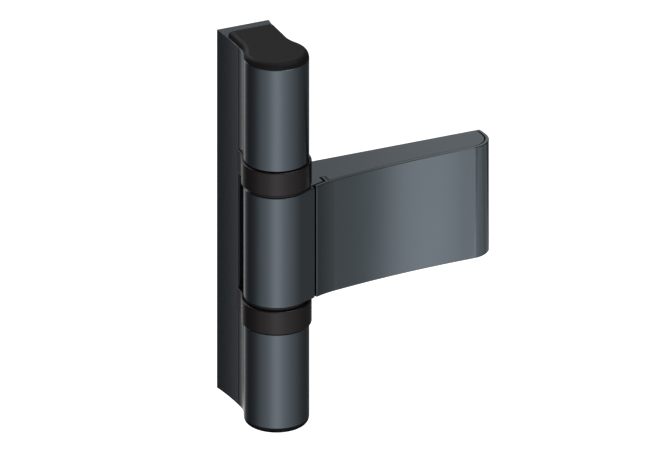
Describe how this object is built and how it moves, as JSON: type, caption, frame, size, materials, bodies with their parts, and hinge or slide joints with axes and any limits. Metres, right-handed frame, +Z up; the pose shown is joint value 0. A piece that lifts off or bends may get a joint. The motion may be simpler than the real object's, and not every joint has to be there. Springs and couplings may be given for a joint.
{
  "type": "three-wing door hinge",
  "caption": "Surface-mounted door hinge with a long two-knuckle frame leaf, a covered sash leaf turning between the knuckles, dark collars and end caps.",
  "frame": {"origin": "centre of the frame leaf's back face, at the middle of its height", "axes": "+Y out of the back face into the door frame, +Z up along the hinge axis, +X towards the sash wing when closed"},
  "size_m": [0.0918, 0.0395, 0.1362],
  "materials": {
    "anthracite_frame": "satin anthracite coating",
    "anthracite_sash": "satin anthracite coating",
    "anthracite_cover": "satin anthracite coating",
    "cap_plastic": "fine moulded grain",
    "collar_plastic": "smooth moulded",
    "bush_plastic": "smooth bearing plastic",
    "pin_steel": "ground",
    "screw_steel": "machined",
    "pad_rubber": "matte"
  },
  "bodies": {
    "frame": {"frame_leaf": "anthracite_frame", "top_cap": "cap_plastic", "bottom_cap": "cap_plastic", "upper_collar": "collar_plastic", "lower_collar": "collar_plastic", "upper_frame_bush": "bush_plastic", "lower_frame_bush": "bush_plastic", "upper_thrust_washer": "pin_steel", "lower_thrust_washer": "pin_steel", "hinge_pin": "pin_steel", "pin_stop_screw": "screw_steel", "height_screw": "screw_steel", "upper_lock_screw": "screw_steel", "lower_lock_screw": "screw_steel"},
    "sash": {"sash_leaf": "anthracite_sash", "wing_cover": "anthracite_cover", "upper_sash_bush": "bush_plastic", "lower_sash_bush": "bush_plastic", "cover_pads": "pad_rubber"}
  },
  "joints": [
    {"name": "sash_swing", "type": "hinge", "parent": "frame", "child": "sash", "pos_m": [0, -0.0277, -0.0014], "axis": [0, 0, -1], "range_deg": [0, 180]}
  ]
}
